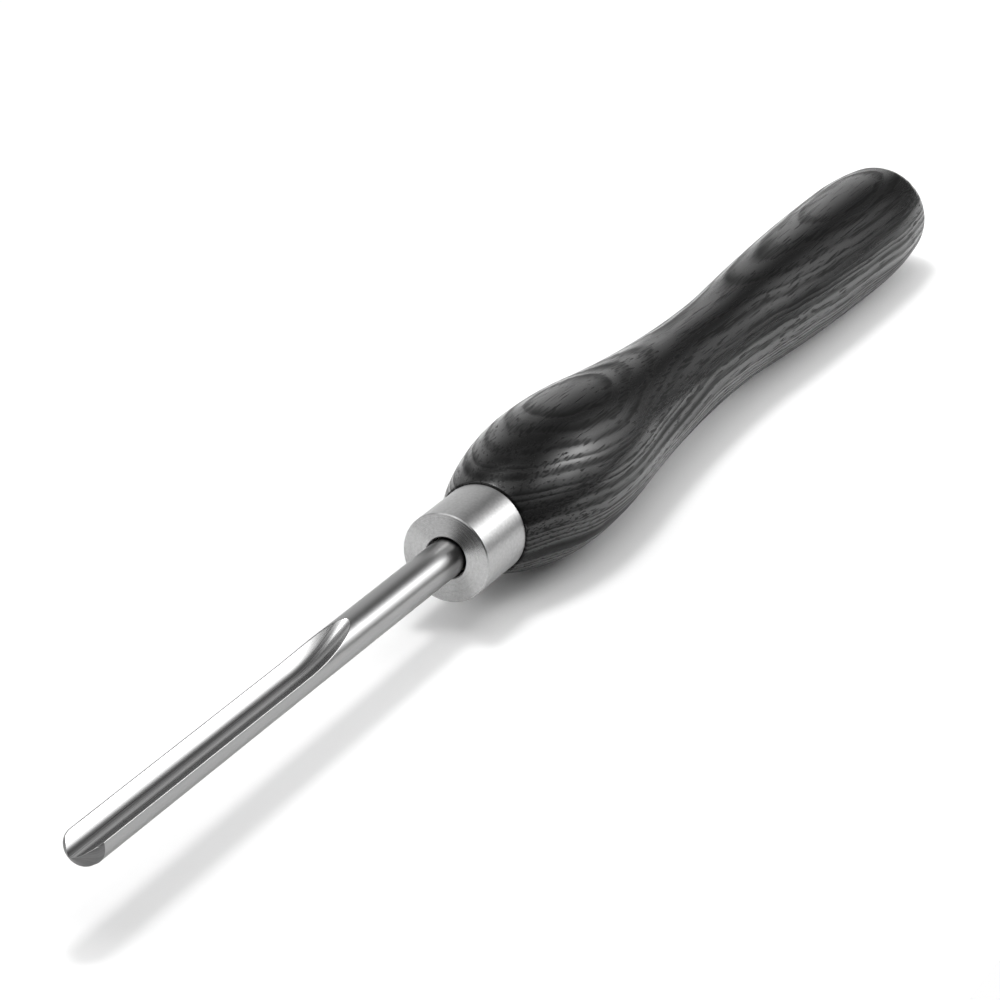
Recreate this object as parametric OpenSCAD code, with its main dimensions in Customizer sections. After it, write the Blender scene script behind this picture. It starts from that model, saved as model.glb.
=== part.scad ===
// Spindle gouge: a round steel bar with a milled flute and a conical bevel, glued into a turned
// wooden handle whose neck is held by a metal ferrule.
// +X runs along the axis to the cutting edge and +Z is up as the tool lies. The origin is on the
// axis, in the plane of the ferrule's front face. All sizes are in millimetres.

/* [Blade] */
// Diameter of the round bar
bar_d = 10; // [9.6:0.2:12]
// How far the nose stands out of the ferrule
blade_out = 173.6; // [140:0.2:240]
// How deep the tang reaches behind the ferrule's front face
tang_l = 56; // [40:1:75]
// How much the tang is ground under the bar's radius, so that the adhesive keys to it
tang_relief = 0.2; // [0.1:0.05:0.5]
// Chamfer on the buried end of the tang
tang_chamfer = 0.8; // [0.4:0.1:1.5]

/* [Flute] */
// Turn of the flute about the axis, from straight up towards +Y
flute_roll = 5.5; // [-30:0.5:30]
// Radius of the flute's floor
flute_r = 4; // [3:0.1:5]
// Angle, each way from the middle, at which the floor meets the walls
flute_turn = 32; // [25:1:40]
// Radius of the flute's flatter walls
wall_r = 13; // [9:0.5:18]
// Steel left under the middle of the flute
flute_web = 4.6; // [4.2:0.1:4.8]
// Length of the flute at its full depth, measured back from the nose
flute_l = 96.6; // [70:0.2:105]
// Radius of the wheel whose rim leaves the run-out at the rear of the flute
runout_wheel_r = 64; // [40:1:80]

/* [Bevel] */
// Angle between the bevel and the axis, up to the cutting edge
bevel_angle = 45; // [35:1:55]
// Angle between the relieved heel of the bevel and the axis
heel_angle = 12; // [8:1:20]
// Length of the relieved heel along the axis
heel_l = 1.5; // [0.5:0.1:3]
// Radius that rounds the heel into the bevel
heel_round = 2; // [1:0.5:5]

/* [Ferrule] */
// Outside diameter of the ferrule
ferrule_d = 24; // [21:0.5:28]
// Length of the ferrule
ferrule_l = 20.5; // [14:0.5:30]
// Thickness of the ferrule's front wall
ferrule_front = 4; // [2:0.5:6]
// Thickness of the ferrule's side wall
ferrule_wall = 1.8; // [1:0.1:2.5]
// Chamfer on the ferrule's front and rear edges
ferrule_chamfer = 0.3; // [0.2:0.1:0.8]
// Chamfer at the mouth of the ferrule's bore
bore_chamfer = 0.3; // [0.1:0.1:0.6]

/* [Handle] */
// Length of the handle behind the ferrule
handle_l = 272; // [230:1:340]
// How far the handle's neck stands out beyond the ferrule
neck_lip = 0.5; // [0.2:0.1:1]
// Radius that rounds the front edge of the neck
neck_round = 0.5; // [0.3:0.1:1]
// Diameter of the belly
belly_d = 40.2; // [34:0.2:46]
// Distance of the belly behind the ferrule
belly_at = 38; // [28:1:60]
// Diameter of the waist
waist_d = 27.2; // [24:0.2:30]
// Distance of the waist behind the ferrule
waist_at = 138; // [110:1:160]
// Diameter of the rear swell
swell_d = 33.8; // [31:0.2:38]
// Distance of the rear swell in front of the butt end
swell_from_butt = 35; // [25:1:60]
// Diameter that the rear curve falls to at the butt end, before it is rounded
butt_d = 26.4; // [23:0.2:30]
// Radius that rounds the butt end
butt_round = 13; // [6:0.5:13]
// Share of the run from belly to waist over which the outline is still convex
belly_share = 0.27; // [0.1:0.01:0.6]
// Share of the run from waist to swell over which the outline is still hollow
waist_share = 0.2; // [0.1:0.01:0.6]

/* [Fits] */
// Radial gap that shows between the bar and the ferrule's bore
bore_gap = 0.5; // [0.2:0.1:1]
// Space between the handle's tenon and the inside of the ferrule's front wall
tenon_end_gap = 0.5; // [0.2:0.1:1]
// Thickness of the adhesive around the tang
adhesive_wall = 0.4; // [0.2:0.05:0.8]
// Thickness of the adhesive under the end of the tang
adhesive_floor = 1; // [0.5:0.1:3]
// Hairline left between round faces that are glued or pressed together
hairline = 0.02; // [0.01:0.01:0.05]

/* [Hidden] */

$fn = 96;
// Straight steps in each arc of an outline
arc_steps = 24;
// Straight steps in the small round of the neck
neck_steps = 6;
// Straight steps in the round between the heel and the bevel
heel_steps = 8;
// How far a cut runs past the face that it opens
cut_over = 10;

bar_r = bar_d / 2;
tang_r = bar_r - tang_relief;

// Bevel, from the nose back: a cone, the round that is tangent to it, and the relieved heel
edge_r = bar_r - flute_web;
heel_end_r = bar_r - heel_l * tan(heel_angle);
bevel_r = heel_end_r - heel_round * (cos(heel_angle) - cos(bevel_angle));
bevel_x = blade_out - (bevel_r - edge_r) / tan(bevel_angle);
heel_end_x = bevel_x - heel_round * (sin(bevel_angle) - sin(heel_angle));
heel_x = heel_end_x - heel_l;
// Where the bevel's cone would reach the axis if the flute were not cut
apex_x = blade_out + edge_r / tan(bevel_angle);

// Flute: the height of its floor, and the place where the run-out starts to rise
flute_floor_z = flute_web - bar_r;
runout_x = blade_out - flute_l;
// Angle that the wheel's rim turns through before it is well clear of the bar
runout_turn = 70;
// Angle that the rim is carried on into the straight hollow, so that the two cuts join
runout_lap = 6;
// How much shallower the rim runs than the straight hollow, so that the two cuts cross cleanly
runout_lift = 0.02;

// Outline points, as [across, height above the floor], of one side of the flute's section: half of
// the floor, the wall up to wall_end, and a straight side that is clear of the bar
wall_end = 75;
wall_extra = wall_r - flute_r;
flute_side = concat(
    [for (i = [0 : arc_steps / 2])
        let (a = flute_turn * 2 * i / arc_steps)
            [flute_r * sin(a), flute_r * (1 - cos(a))]],
    [for (i = [1 : arc_steps / 2])
        let (a = flute_turn + (wall_end - flute_turn) * 2 * i / arc_steps)
            [
                wall_r * sin(a) - wall_extra * sin(flute_turn),
                wall_r * (1 - cos(a)) - wall_extra * (1 - cos(flute_turn))
            ]],
    [[wall_r * sin(wall_end) - wall_extra * sin(flute_turn), bar_d + cut_over]]
);

// Depths behind the ferrule's front face
shoulder_at = ferrule_l;
tenon_at = ferrule_front + tenon_end_gap;
hole_end_at = tang_l + adhesive_floor;
belly_depth = shoulder_at + belly_at;
waist_depth = shoulder_at + waist_at;
butt_depth = shoulder_at + handle_l;
swell_depth = butt_depth - swell_from_butt;

// Radii of the fits
bore_r = bar_r + bore_gap;
ferrule_r = ferrule_d / 2;
socket_r = ferrule_r - ferrule_wall;
tenon_r = socket_r - hairline;
tang_hole_r = tang_r + adhesive_wall;

// Radii of the handle's outline
neck_r = ferrule_r + neck_lip;
belly_r = belly_d / 2;
waist_r = waist_d / 2;
swell_r = swell_d / 2;
butt_r = butt_d / 2;

// Radius of the arc that is level at one end of a run and has fallen by a drop at the other
function arc_radius(run, fall) = (run * run + fall * fall) / (2 * fall);

// Fall of an arc at a distance from the point where it is level
function arc_fall(radius, run) = radius - sqrt(radius * radius - run * run);

// Outline points, as [radius, depth], of an arc that is level at depth level_at and reaches end_at.
// side is 1 for a round crest and -1 for a hollow.
function arc_points(level_r, level_at, end_at, radius, side) = [
    for (i = [0 : arc_steps])
        let (run = (end_at - level_at) * i / arc_steps)
            [level_r - side * arc_fall(radius, run), level_at + run]
];

function backwards(points) = [for (i = [len(points) - 1 : -1 : 0]) points[i]];

// Distance from the axis of the centre of a round that is tangent to an arc and to an end face, when
// that centre is a run along the axis from the arc's crest
function round_centre(crest_r, arc, radius, run) = crest_r - arc + sqrt(pow(arc - radius, 2) - pow(run, 2));

// Outline points, as [radius, depth], of a round from its meeting with an arc to the end face.
// way is 1 for a face at the rear and -1 for one at the front.
function round_points(centre_r, centre_at, radius, meeting, way, steps) = [
    for (i = [0 : steps])
        let (a = meeting * (1 - i / steps))
            [centre_r + radius * sin(a), centre_at + way * radius * cos(a)]
];

// Belly: a small round at the neck, one arc up from it, and a flatter one down towards the waist
neck_arc = arc_radius(belly_at, belly_r - neck_r);
neck_run = belly_at - neck_round;
neck_round_r = round_centre(belly_r, neck_arc, neck_round, neck_run);
neck_meeting = atan2(neck_round_r - belly_r + neck_arc, neck_run);
neck_end_at = belly_depth - neck_arc * cos(neck_meeting);
neck_round_at = shoulder_at + neck_round;
belly_run = waist_at - belly_at;
belly_waist_arcs = arc_radius(belly_run, belly_r - waist_r);
belly_turn_at = belly_depth + belly_share * belly_run;

// Waist and rear swell, which share the run between them in the same way
waist_run = swell_depth - waist_depth;
waist_swell_arcs = arc_radius(waist_run, swell_r - waist_r);
waist_turn_at = waist_depth + waist_share * waist_run;

// Butt: the rear arc, and a round that is tangent to it and to the end face
rear_arc = arc_radius(swell_from_butt, swell_r - butt_r);
butt_run = swell_from_butt - butt_round;
butt_round_r = round_centre(swell_r, rear_arc, butt_round, butt_run);
butt_meeting = atan2(butt_round_r - swell_r + rear_arc, butt_run);
rear_end_at = swell_depth + rear_arc * cos(butt_meeting);

handle_outline = concat(
    backwards(round_points(neck_round_r, neck_round_at, neck_round, neck_meeting, -1, neck_steps)),
    backwards(arc_points(belly_r, belly_depth, neck_end_at, neck_arc, 1)),
    arc_points(belly_r, belly_depth, belly_turn_at, belly_share * belly_waist_arcs, 1),
    backwards(arc_points(waist_r, waist_depth, belly_turn_at, (1 - belly_share) * belly_waist_arcs, -1)),
    arc_points(waist_r, waist_depth, waist_turn_at, waist_share * waist_swell_arcs, -1),
    backwards(arc_points(swell_r, swell_depth, waist_turn_at, (1 - waist_share) * waist_swell_arcs, 1)),
    arc_points(swell_r, swell_depth, rear_end_at, rear_arc, 1),
    round_points(butt_round_r, butt_depth - butt_round, butt_round, butt_meeting, 1, arc_steps)
);

// Turns an outline of [radius, depth] points about the axis, with depth running back from the
// ferrule's front face
module turned(outline) {
    rotate([0, -90, 0])
        rotate_extrude()
            polygon(outline);
}

// Bar, tang and bevel as they are before the flute is cut
module blade_blank() {
    turned(concat(
        [
            [0, tang_l],
            [tang_r - tang_chamfer, tang_l],
            [tang_r, tang_l - tang_chamfer],
            [tang_r, 0],
            [bar_r, 0],
            [bar_r, -heel_x]
        ],
        [for (i = [0 : heel_steps])
            let (a = heel_angle + (bevel_angle - heel_angle) * i / heel_steps)
                [
                    heel_end_r - heel_round * (cos(heel_angle) - cos(a)),
                    -heel_end_x - heel_round * (sin(a) - sin(heel_angle))
                ]],
        [[0, -apex_x]]
    ));
}

// Section of the flute, with its floor on the line y = 0
module flute_section() {
    polygon(concat(
        flute_side,
        [for (i = [len(flute_side) - 1 : -1 : 1]) [-flute_side[i][0], flute_side[i][1]]]
    ));
}

// What the milling wheel removes: a straight hollow, and the rise where the wheel leaves the bar
module flute_cut() {
    rotate([-flute_roll, 0, 0]) {
        translate([runout_x, 0, flute_floor_z])
            rotate([90, 0, 90])
                linear_extrude(height = flute_l + cut_over)
                    flute_section();
        translate([runout_x, 0, flute_floor_z + runout_lift + runout_wheel_r])
            rotate([90, 0, 0])
                rotate([0, 0, 270 - runout_turn])
                    rotate_extrude(angle = runout_turn + runout_lap)
                        translate([runout_wheel_r, 0])
                            rotate([0, 0, 90])
                                flute_section();
    }
}

module blade() {
    color("#a9abad")
        difference() {
            blade_blank();
            flute_cut();
        }
}

// Turned cap: a thick front wall bored for the bar, and a socket that presses over the tenon
module ferrule() {
    color("#c9cacb")
        turned([
            [bore_r + bore_chamfer, 0],
            [ferrule_r - ferrule_chamfer, 0],
            [ferrule_r, ferrule_chamfer],
            [ferrule_r, ferrule_l - ferrule_chamfer],
            [ferrule_r - ferrule_chamfer, ferrule_l],
            [socket_r, ferrule_l],
            [socket_r, ferrule_front],
            [bore_r, ferrule_front],
            [bore_r, bore_chamfer]
        ]);
}

// Turned ash handle with its tenon, and the blind hole for the tang
module handle() {
    color("#1b1b1c")
        difference() {
            turned(concat(
                [[0, tenon_at], [tenon_r, tenon_at], [tenon_r, shoulder_at]],
                handle_outline,
                [[0, butt_depth]]
            ));
            rotate([0, -90, 0])
                translate([0, 0, tenon_at - cut_over])
                    cylinder(r = tang_hole_r, h = hole_end_at - tenon_at + cut_over);
        }
}

// Cured adhesive that fills the hole around the tang and under its end
module tang_adhesive() {
    color("#6b6350")
        turned([
            [0, hole_end_at],
            [tang_hole_r - hairline, hole_end_at],
            [tang_hole_r - hairline, tenon_at],
            [tang_r + hairline, tenon_at],
            [tang_r + hairline, tang_l],
            [0, tang_l]
        ]);
}

blade();
ferrule();
handle();
tang_adhesive();
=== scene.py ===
"""Spindle gouge: the turned handle, ferrule and fluted blade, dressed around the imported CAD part."""

import math
from functools import partial

import bmesh
import bpy
from bpy.props import FloatProperty, FloatVectorProperty, IntProperty, PointerProperty
from mathutils import Euler, Matrix, Vector


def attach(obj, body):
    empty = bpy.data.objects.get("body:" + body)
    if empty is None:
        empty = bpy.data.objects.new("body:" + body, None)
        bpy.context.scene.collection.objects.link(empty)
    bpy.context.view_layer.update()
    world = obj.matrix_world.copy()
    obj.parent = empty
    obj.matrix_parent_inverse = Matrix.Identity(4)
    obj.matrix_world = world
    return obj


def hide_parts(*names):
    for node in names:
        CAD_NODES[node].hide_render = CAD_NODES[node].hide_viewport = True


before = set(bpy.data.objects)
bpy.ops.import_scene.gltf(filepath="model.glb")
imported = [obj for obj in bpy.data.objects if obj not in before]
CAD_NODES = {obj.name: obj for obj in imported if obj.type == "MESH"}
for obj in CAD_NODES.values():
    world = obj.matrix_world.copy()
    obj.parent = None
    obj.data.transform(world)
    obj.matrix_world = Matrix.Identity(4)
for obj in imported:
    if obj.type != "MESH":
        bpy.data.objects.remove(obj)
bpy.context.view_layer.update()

bl_info = {
    "name": "Spindle Gouge",
    "version": (1, 0, 0),
    "blender": (4, 5, 0),
    "location": "3D View > Sidebar > Gouge",
    "description": "Builds a woodturner's spindle gouge and the stage it lies on",
    "category": "Object",
}

MM = 0.001

# The tool's axis, from the butt to the cutting edge.
AXIS = (1.0, 0.0, 0.0)


def length(name, description, millimetres):
    """A length property whose default is given in millimetres."""
    return FloatProperty(
        name=name,
        description=description,
        default=millimetres * MM,
        min=0.0,
        precision=5,
        unit="LENGTH",
    )


def to_linear(hex_colour):
    """Scene-linear RGBA of an sRGB hex colour such as "#1b1b1c"."""
    channels = [int(hex_colour[i : i + 2], 16) / 255 for i in (1, 3, 5)]
    linear = [c / 12.92 if c <= 0.04045 else ((c + 0.055) / 1.055) ** 2.4 for c in channels]
    return (*linear, 1.0)


def colour(name, description, hex_colour):
    """A colour property whose default is an sRGB hex value."""
    return FloatVectorProperty(
        name=name,
        description=description,
        default=to_linear(hex_colour),
        size=4,
        min=0.0,
        max=1.0,
        subtype="COLOR",
    )


class GougeBladeSizes(bpy.types.PropertyGroup):
    """Sizes of the steel bar, its flute and its bevel."""

    bar_d: length("Bar Diameter", "Diameter of the round bar", 10.0)
    blade_out: length("Blade Length", "From the ferrule's front face to the nose", 173.6)
    tang_l: length("Tang Depth", "From the ferrule's front face to the buried end", 56.0)
    tang_relief: length("Tang Relief", "How much the tang is under the bar's radius", 0.2)
    tang_chamfer: length("Tang Chamfer", "Chamfer on the buried end", 0.8)
    flute_roll: FloatProperty(
        name="Flute Roll",
        description="Turn of the flute about the axis, from straight up towards +Y",
        default=math.radians(5.5),
        subtype="ANGLE",
    )
    flute_r: length("Flute Radius", "Radius of the flute's floor", 4.0)
    flute_turn: FloatProperty(
        name="Flute Turn",
        description="Angle, each way from the middle, at which the floor meets the walls",
        default=math.radians(32.0),
        subtype="ANGLE",
    )
    wall_r: length("Wall Radius", "Radius of the flute's flatter walls", 13.0)
    flute_web: length("Flute Web", "Steel left under the middle of the flute", 4.6)
    flute_l: length("Flute Length", "Full-depth flute, measured back from the nose", 96.6)
    wheel_r: length("Run-out Radius", "Radius of the wheel that leaves the run-out", 64.0)
    bevel_angle: FloatProperty(
        name="Bevel Angle",
        description="Angle between the bevel and the axis, up to the cutting edge",
        default=math.radians(45.0),
        subtype="ANGLE",
    )
    heel_angle: FloatProperty(
        name="Heel Angle",
        description="Angle between the relieved heel of the bevel and the axis",
        default=math.radians(12.0),
        subtype="ANGLE",
    )
    heel_l: length("Heel Length", "Length of the relieved heel along the axis", 1.5)
    heel_round: length("Heel Round", "Radius that rounds the heel into the bevel", 2.0)
    rim_break: length("Rim Break", "Width of the break along the flute's rims and edge", 0.32)


class GougeFerruleSizes(bpy.types.PropertyGroup):
    """Sizes of the turned ferrule."""

    diameter: length("Diameter", "Outside diameter", 24.0)
    depth: length("Length", "Length along the axis", 20.5)
    front: length("Front Wall", "Thickness of the front wall", 4.0)
    wall: length("Side Wall", "Thickness of the side wall", 1.8)
    chamfer: length("Chamfer", "Chamfer on the front and rear edges", 0.3)
    bore_gap: length("Bore Gap", "Radial gap that shows around the bar", 0.5)
    bore_chamfer: length("Bore Chamfer", "Chamfer at the mouth of the bore", 0.3)


class GougeHandleSizes(bpy.types.PropertyGroup):
    """Sizes of the turned handle."""

    handle_l: length("Length", "Length behind the ferrule", 272.0)
    neck_lip: length("Neck Lip", "How far the neck stands out beyond the ferrule", 0.5)
    neck_round: length("Neck Round", "Radius that rounds the front edge of the neck", 0.5)
    belly_d: length("Belly Diameter", "Diameter of the belly", 40.2)
    belly_at: length("Belly Distance", "Distance of the belly behind the ferrule", 38.0)
    waist_d: length("Waist Diameter", "Diameter of the waist", 27.2)
    waist_at: length("Waist Distance", "Distance of the waist behind the ferrule", 138.0)
    swell_d: length("Swell Diameter", "Diameter of the rear swell", 33.8)
    swell_from_butt: length("Swell Distance", "Distance of the swell before the butt end", 35.0)
    butt_d: length("Butt Diameter", "Diameter the rear curve falls to at the butt", 26.4)
    butt_round: length("Butt Round", "Radius that rounds the butt end", 13.0)
    belly_share: FloatProperty(
        name="Belly Share",
        description="Share of the run from belly to waist that is still convex",
        default=0.27,
        min=0.1,
        max=0.6,
    )
    waist_share: FloatProperty(
        name="Waist Share",
        description="Share of the run from waist to swell that is still hollow",
        default=0.2,
        min=0.1,
        max=0.6,
    )
    tenon_gap: length("Tenon Gap", "Space between the tenon and the ferrule's front wall", 0.5)
    adhesive_wall: length("Adhesive Wall", "Thickness of the adhesive around the tang", 0.4)
    adhesive_floor: length("Adhesive Floor", "Thickness of the adhesive under the tang", 1.0)
    hairline: length("Hairline", "Gap left between round faces that are pressed together", 0.02)
    segments: IntProperty(
        name="Segments",
        description="Steps around the turned pieces",
        default=160,
        min=24,
        max=512,
    )


class GougeFinishes(bpy.types.PropertyGroup):
    """Colours of the finishes."""

    steel: colour("Bar Steel", "Round-ground high-speed steel", "#a0a0a0")
    steel_flute: colour("Flute Steel", "Polished high-speed steel of the flute", "#a8a8a8")
    steel_bevel: colour("Bevel Steel", "Freshly ground steel of the bevel", "#747474")
    aluminium: colour("Aluminium", "Fine-turned aluminium", "#b2b2b2")
    late_wood: colour("Late Wood", "Dense black-stained ash under lacquer", "#121212")
    early_wood: colour("Early Wood", "Porous black-stained ash", "#0d0d0d")
    pores: colour("Pores", "Open pores filled with stain", "#050505")
    adhesive: colour("Adhesive", "Cured adhesive", "#6b6350")
    floor: colour("Floor", "White sweep that the tool lies on", "#fafafa")


class GougeStageSizes(bpy.types.PropertyGroup):
    """Camera, floor and lamps."""

    floor_reach: length("Floor Reach", "How far the paper reaches to the front, rear and left", 1500.0)
    floor_right: length("Floor Right", "How far the paper reaches to the right of the tool", 180.0)
    camera_from: FloatVectorProperty(
        name="Camera Place",
        description="Place of the camera in the part's frame",
        default=(0.83646, 0.43838, 0.43474),
        size=3,
        subtype="XYZ",
        unit="LENGTH",
    )
    camera_turn: FloatVectorProperty(
        name="Camera Turn",
        description="Turn of the camera about the part's X, Y and Z axes",
        default=tuple(math.radians(angle) for angle in (66.0806, -0.4458, 117.045)),
        size=3,
        subtype="EULER",
    )
    lens: FloatProperty(
        name="Lens",
        description="Focal length in millimetres, on a sensor 36 mm wide",
        default=150.4,
        min=1.0,
    )
    key_power: FloatProperty(
        name="Overhead Power",
        description="Power of the small overhead lamp in watts",
        default=3.7,
        min=0.0,
    )
    key_size: length("Overhead Size", "Diameter of the overhead lamp", 250.0)
    key_distance: length("Overhead Distance", "Distance of the overhead lamp from the floor", 1100.0)
    sheet: FloatProperty(
        name="Sheet",
        description="Brightness of the wide sheet of light overhead, where 1 is white",
        default=2.1,
        min=0.0,
    )
    window: FloatProperty(
        name="Window",
        description="Brightness of the middle of the window beyond the handle",
        default=6.0,
        min=0.0,
    )
    window_glow: FloatProperty(
        name="Window Glow",
        description="Brightness of the wall around the window",
        default=3.2,
        min=0.0,
    )
    left_wall: FloatProperty(
        name="Left Wall",
        description="Brightness of the pale wall on the left",
        default=0.85,
        min=0.0,
    )
    dim: FloatProperty(
        name="Dim",
        description="Brightness of the rest of the room",
        default=0.1,
        min=0.0,
    )


# Objects and nodes

# Places of a mix node's sockets, whose names are shared by its other kinds of value.
MIX_FLOAT_A, MIX_FLOAT_B = 2, 3
MIX_A, MIX_B, MIX_RESULT = 6, 7, 2
# Setting of a map range whose ends are eased.
SMOOTH = {"interpolation_type": "SMOOTHSTEP"}


def new_object(name, data):
    """An object at the origin, linked into the scene."""
    made = bpy.data.objects.new(name, data)
    bpy.context.scene.collection.objects.link(made)
    return made


def add_node(tree, kind, inputs=(), **settings):
    """Adds a node, applies its settings, and sets or links its inputs, given in order or by name."""
    node = tree.nodes.new(kind)
    for key, value in settings.items():
        setattr(node, key, value)
    pairs = inputs.items() if isinstance(inputs, dict) else enumerate(inputs)
    for key, value in pairs:
        if isinstance(value, bpy.types.NodeSocket):
            tree.links.new(value, node.inputs[key])
        else:
            node.inputs[key].default_value = value
    return node


def new_material(name):
    """An empty node material and a function that adds nodes to it."""
    material = bpy.data.materials.new(name)
    material.use_nodes = True
    material.node_tree.nodes.clear()
    return material, partial(add_node, material.node_tree)


# Outlines


def arc_radius(run, fall):
    """Radius of the arc that is level at one end of a run and has fallen at the other."""
    return (run * run + fall * fall) / (2 * fall)


def arc_fall(radius, run):
    """Fall of an arc at a distance from the point where it is level."""
    return radius - math.sqrt(radius * radius - run * run)


def arc_points(level_r, level_at, end_at, radius, side, steps=40):
    """Points (depth, radius) from the level point to end_at; side is 1 for a crest, -1 for a hollow."""
    runs = [(end_at - level_at) * i / steps for i in range(steps + 1)]
    return [(level_at + run, level_r - side * arc_fall(radius, run)) for run in runs]


def round_corner(crest_r, arc, radius, run):
    """Distance from the axis of the centre of a round between an arc and an end face, and its angle.

    The round is tangent to both, and its centre is a run along the axis from the arc's crest.
    """
    centre_r = crest_r - arc + math.sqrt((arc - radius) ** 2 - run * run)
    return centre_r, math.atan2(centre_r - crest_r + arc, run)


def round_points(centre_r, centre_at, radius, meeting, way, steps):
    """Points (depth, radius) of a round from the arc to the face; way is 1 at the rear, -1 in front."""
    angles = [meeting * (1 - i / steps) for i in range(steps + 1)]
    return [(centre_at + way * radius * math.cos(a), centre_r + radius * math.sin(a)) for a in angles]


def handle_outline(handle, ferrule, blade):
    """Closed outline of the handle from the floor of the tang hole round to the butt's centre."""
    neck_r = ferrule.diameter / 2 + handle.neck_lip
    belly_r, waist_r = handle.belly_d / 2, handle.waist_d / 2
    swell_r, butt_r = handle.swell_d / 2, handle.butt_d / 2
    shoulder = ferrule.depth
    belly, waist = shoulder + handle.belly_at, shoulder + handle.waist_at
    butt = shoulder + handle.handle_l
    swell = butt - handle.swell_from_butt
    tenon = ferrule.front + handle.tenon_gap
    tenon_r = ferrule.diameter / 2 - ferrule.wall - handle.hairline
    hole_r = blade.bar_d / 2 - blade.tang_relief + handle.adhesive_wall
    hole_end = blade.tang_l + handle.adhesive_floor

    neck_round, butt_round = handle.neck_round, handle.butt_round
    neck_arc = arc_radius(handle.belly_at, belly_r - neck_r)
    neck_round_r, neck_meeting = round_corner(belly_r, neck_arc, neck_round, handle.belly_at - neck_round)
    neck_end = belly - neck_arc * math.cos(neck_meeting)
    belly_arcs = arc_radius(waist - belly, belly_r - waist_r)
    belly_turn = belly + handle.belly_share * (waist - belly)
    waist_arcs = arc_radius(swell - waist, swell_r - waist_r)
    waist_turn = waist + handle.waist_share * (swell - waist)
    rear_arc = arc_radius(handle.swell_from_butt, swell_r - butt_r)
    butt_run = handle.swell_from_butt - butt_round
    butt_round_r, butt_meeting = round_corner(swell_r, rear_arc, butt_round, butt_run)
    rear_end = swell + rear_arc * math.cos(butt_meeting)

    share, hollow = handle.belly_share, handle.waist_share
    runs = [
        round_points(neck_round_r, shoulder + neck_round, neck_round, neck_meeting, -1, steps=12)[::-1],
        arc_points(belly_r, belly, neck_end, neck_arc, 1)[::-1],
        arc_points(belly_r, belly, belly_turn, share * belly_arcs, 1),
        arc_points(waist_r, waist, belly_turn, (1 - share) * belly_arcs, -1)[::-1],
        arc_points(waist_r, waist, waist_turn, hollow * waist_arcs, -1),
        arc_points(swell_r, swell, waist_turn, (1 - hollow) * waist_arcs, 1)[::-1],
        arc_points(swell_r, swell, rear_end, rear_arc, 1),
        round_points(butt_round_r, butt - butt_round, butt_round, butt_meeting, 1, steps=32),
    ]
    bore = [(hole_end, 0.0), (hole_end, hole_r), (tenon, hole_r), (tenon, tenon_r), (shoulder, tenon_r)]
    return bore + [p for run in runs for p in run] + [(butt, 0.0)]


def ferrule_outline(ferrule, blade):
    """Closed outline of the ferrule, with its first point again at the end."""
    outer, bore = ferrule.diameter / 2, blade.bar_d / 2 + ferrule.bore_gap
    socket = outer - ferrule.wall
    loop = [
        (0.0, bore + ferrule.bore_chamfer),
        (0.0, outer - ferrule.chamfer),
        (ferrule.chamfer, outer),
        (ferrule.depth - ferrule.chamfer, outer),
        (ferrule.depth, outer - ferrule.chamfer),
        (ferrule.depth, socket),
        (ferrule.front, socket),
        (ferrule.front, bore),
        (ferrule.bore_chamfer, bore),
    ]
    return loop + loop[:1]


# Lathe

# Points of a turned piece this close together are one point, and shorter edges are closed up.
WELD_DISTANCE = 0.001 * MM
SHORTEST_EDGE = 0.0001 * MM


def lathe_tree():
    """Geometry Nodes that turn an outline of (-depth, 0, radius) points about the X axis."""
    tree = bpy.data.node_groups.new("Lathe", "GeometryNodeTree")
    face = tree.interface
    face.new_socket("Outline", in_out="INPUT", socket_type="NodeSocketGeometry")
    points = face.new_socket("Outline Points", in_out="INPUT", socket_type="NodeSocketInt")
    segments = face.new_socket("Segments", in_out="INPUT", socket_type="NodeSocketInt")
    weld = face.new_socket("Weld Distance", in_out="INPUT", socket_type="NodeSocketFloat")
    material = face.new_socket("Finish", in_out="INPUT", socket_type="NodeSocketMaterial")
    face.new_socket("Turned", in_out="OUTPUT", socket_type="NodeSocketGeometry")

    add = partial(add_node, tree)
    given = add("NodeGroupInput")
    rings = add("ShaderNodeMath", [given.outputs["Segments"], 1], operation="ADD")
    grid = add(
        "GeometryNodeMeshGrid",
        {"Vertices X": given.outputs["Outline Points"], "Vertices Y": rings.outputs[0]},
    )
    index = add("GeometryNodeInputIndex")
    station = add("ShaderNodeMath", [index.outputs[0], rings.outputs[0]], operation="DIVIDE")
    station = add("ShaderNodeMath", [station.outputs[0]], operation="FLOOR")
    step = add("ShaderNodeMath", [index.outputs[0], rings.outputs[0]], operation="MODULO")
    turn = add("ShaderNodeMath", [step.outputs[0], given.outputs["Segments"]], operation="DIVIDE")
    angle = add("ShaderNodeMath", [turn.outputs[0], math.tau], operation="MULTIPLY")
    place = add("GeometryNodeInputPosition")
    point = add(
        "GeometryNodeSampleIndex",
        {"Geometry": given.outputs["Outline"], "Value": place.outputs[0], "Index": station.outputs[0]},
        data_type="FLOAT_VECTOR",
    )
    turned = add(
        "ShaderNodeVectorRotate",
        {"Vector": point.outputs[0], "Angle": angle.outputs[0]},
        rotation_type="X_AXIS",
    )
    moved = add(
        "GeometryNodeSetPosition",
        {"Geometry": grid.outputs["Mesh"], "Position": turned.outputs[0]},
    )
    closed = add(
        "GeometryNodeMergeByDistance",
        {"Geometry": moved.outputs[0], "Distance": given.outputs["Weld Distance"]},
    )
    real = add("GeometryNodeRealizeInstances", {"Geometry": closed.outputs[0]})
    finished = add(
        "GeometryNodeSetMaterial",
        {"Geometry": real.outputs[0], "Material": given.outputs["Finish"]},
    )
    add("NodeGroupOutput", [finished.outputs[0]])
    return tree, {
        "points": points.identifier,
        "segments": segments.identifier,
        "weld": weld.identifier,
        "finish": material.identifier,
    }


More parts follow.
